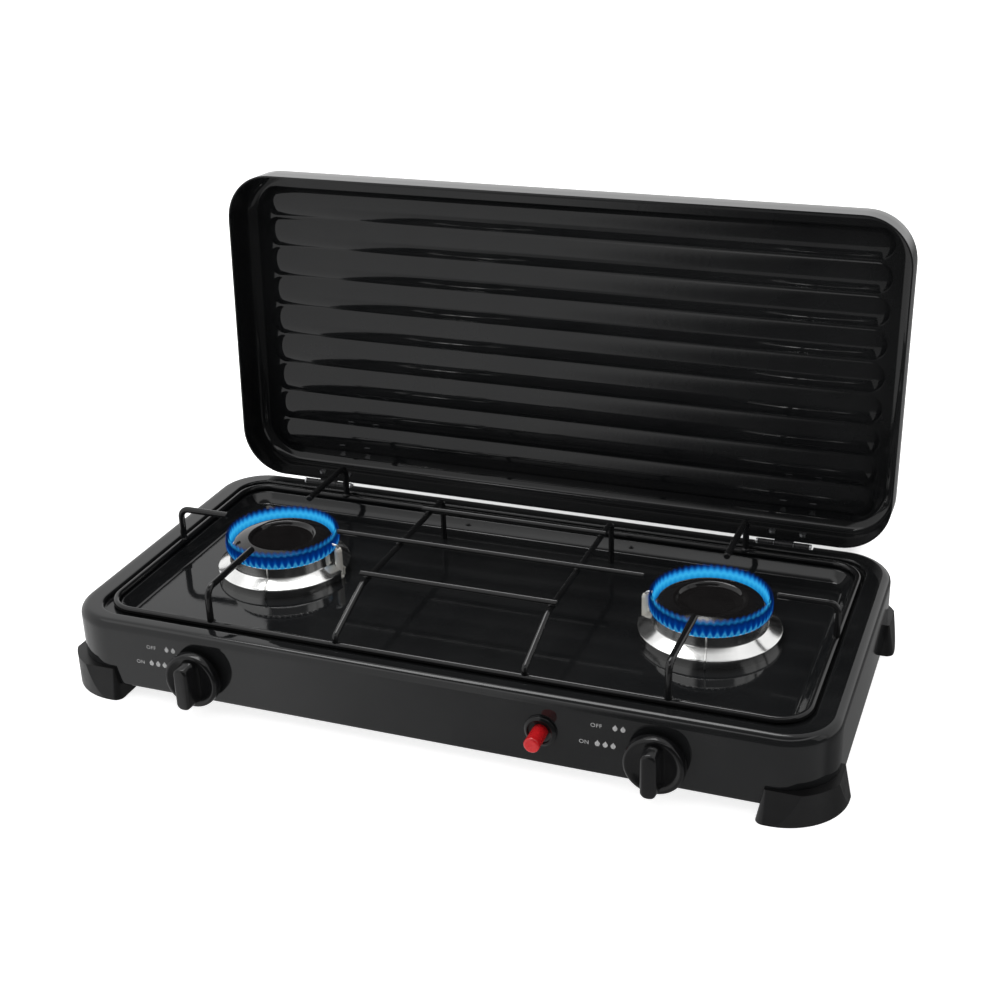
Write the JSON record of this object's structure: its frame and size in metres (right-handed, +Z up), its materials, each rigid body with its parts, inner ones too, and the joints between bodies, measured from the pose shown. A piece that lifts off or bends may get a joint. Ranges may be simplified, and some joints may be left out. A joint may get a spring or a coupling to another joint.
{
  "type": "two-burner gas cooker",
  "caption": "Table-top two-burner gas cooker: black enamelled pressed body on corner feet, wire pan grid, side knobs, red push igniter and a fluted lid hinged at the back",
  "frame": {"origin": "centre of the footprint, on the plane the four feet stand on", "axes": "+X to the user's right, +Y to the back where the lid hinges, +Z up"},
  "size_m": [0.579, 0.3419, 0.3212],
  "materials": {
    "enamel": "gloss black vitreous enamel on pressed steel",
    "foot_plastic": "fine-grained matt black plastic",
    "knob_plastic": "satin black plastic",
    "button_plastic": "gloss red plastic",
    "polished_alloy": "polished aluminium",
    "cast_alloy": "as-cast aluminium",
    "cap_enamel": "satin black enamel",
    "ceramic": "glazed white ceramic",
    "brass": "machined brass",
    "zinc_steel": "bright zinc-plated steel",
    "spring_steel": "drawn steel",
    "pipe_steel": "plain steel tube",
    "hinge_steel": "black enamelled steel",
    "wire_enamel": "gloss black enamel on steel wire",
    "lead_rubber": "silicone-rubber insulation"
  },
  "bodies": {
    "base": {"body_shell": "enamel", "foot_front_left": "foot_plastic", "foot_front_right": "foot_plastic", "foot_rear_left": "foot_plastic", "foot_rear_right": "foot_plastic", "foot_screws": "zinc_steel", "burner_cup_left": "cast_alloy", "burner_cup_right": "cast_alloy", "burner_ring_left": "polished_alloy", "burner_ring_right": "polished_alloy", "burner_head_left": "cast_alloy", "burner_head_right": "cast_alloy", "burner_screws": "zinc_steel", "spark_insulator_left": "ceramic", "spark_insulator_right": "ceramic", "spark_pin_left": "zinc_steel", "spark_pin_right": "zinc_steel", "spark_lead_left": "lead_rubber", "spark_lead_right": "lead_rubber", "tap_body_left": "cast_alloy", "tap_body_right": "cast_alloy", "tap_glands": "brass", "tap_jets": "brass", "tap_screws": "zinc_steel", "gas_pipe": "pipe_steel", "gas_inlet": "brass", "igniter_body": "foot_plastic", "igniter_collar": "foot_plastic", "igniter_spring": "spring_steel", "hinge_leaf_body_left": "hinge_steel", "hinge_leaf_body_right": "hinge_steel", "hinge_pins": "zinc_steel", "hinge_rivets_body": "zinc_steel"},
    "lid": {"lid_shell": "enamel", "hinge_leaf_lid_left": "hinge_steel", "hinge_leaf_lid_right": "hinge_steel", "hinge_rivets_lid": "zinc_steel"},
    "grid": {"grid_frame": "wire_enamel", "grid_finger_side_left": "wire_enamel", "grid_finger_side_right": "wire_enamel", "grid_finger_front_left": "wire_enamel", "grid_finger_front_right": "wire_enamel", "grid_finger_back_left": "wire_enamel", "grid_finger_back_right": "wire_enamel", "grid_cross_left": "wire_enamel", "grid_cross_right": "wire_enamel", "grid_bar_front": "wire_enamel", "grid_bar_middle": "wire_enamel", "grid_bar_back": "wire_enamel"},
    "igniter": {"igniter_button": "button_plastic"},
    "plug_left": {"tap_plug_left": "brass", "tap_spring_left": "spring_steel"},
    "plug_right": {"tap_plug_right": "brass", "tap_spring_right": "spring_steel"},
    "knob_left": {"knob_left": "knob_plastic", "tap_stem_left": "brass"},
    "knob_right": {"knob_right": "knob_plastic", "tap_stem_right": "brass"},
    "cap_left": {"burner_cap_left": "cap_enamel"},
    "cap_right": {"burner_cap_right": "cap_enamel"}
  },
  "joints": [
    {"name": "lid_hinge", "type": "hinge", "parent": "base", "child": "lid", "pos_m": [0, 0.1318, 0.0618], "axis": [1, 0, 0], "range_deg": [0, 93]},
    {"name": "grid_lift", "type": "slide", "parent": "base", "child": "grid", "axis": [0, 0, 1], "range_m": [0, 0.06]},
    {"name": "igniter_push", "type": "slide", "parent": "base", "child": "igniter", "axis": [0, 1, 0], "range_m": [0, 0.006], "stiffness_N_per_m": 600, "springref_m": -0.002, "deforming": ["igniter_spring"]},
    {"name": "tap_turn_left", "type": "hinge", "parent": "base", "child": "plug_left", "pos_m": [-0.17, -0.138, 0.0315], "axis": [0, -1, 0], "range_deg": [0, 180]},
    {"name": "knob_push_left", "type": "slide", "parent": "plug_left", "child": "knob_left", "axis": [0, 1, 0], "range_m": [0, 0.003], "stiffness_N_per_m": 900, "springref_m": -0.002, "deforming": ["tap_spring_left"]},
    {"name": "cap_lift_left", "type": "slide", "parent": "base", "child": "cap_left", "axis": [0, 0, 1], "range_m": [0, 0.04]},
    {"name": "tap_turn_right", "type": "hinge", "parent": "base", "child": "plug_right", "pos_m": [0.17, -0.138, 0.0315], "axis": [0, -1, 0], "range_deg": [0, 180]},
    {"name": "knob_push_right", "type": "slide", "parent": "plug_right", "child": "knob_right", "axis": [0, 1, 0], "range_m": [0, 0.003], "stiffness_N_per_m": 900, "springref_m": -0.002, "deforming": ["tap_spring_right"]},
    {"name": "cap_lift_right", "type": "slide", "parent": "base", "child": "cap_right", "axis": [0, 0, 1], "range_m": [0, 0.04]}
  ]
}
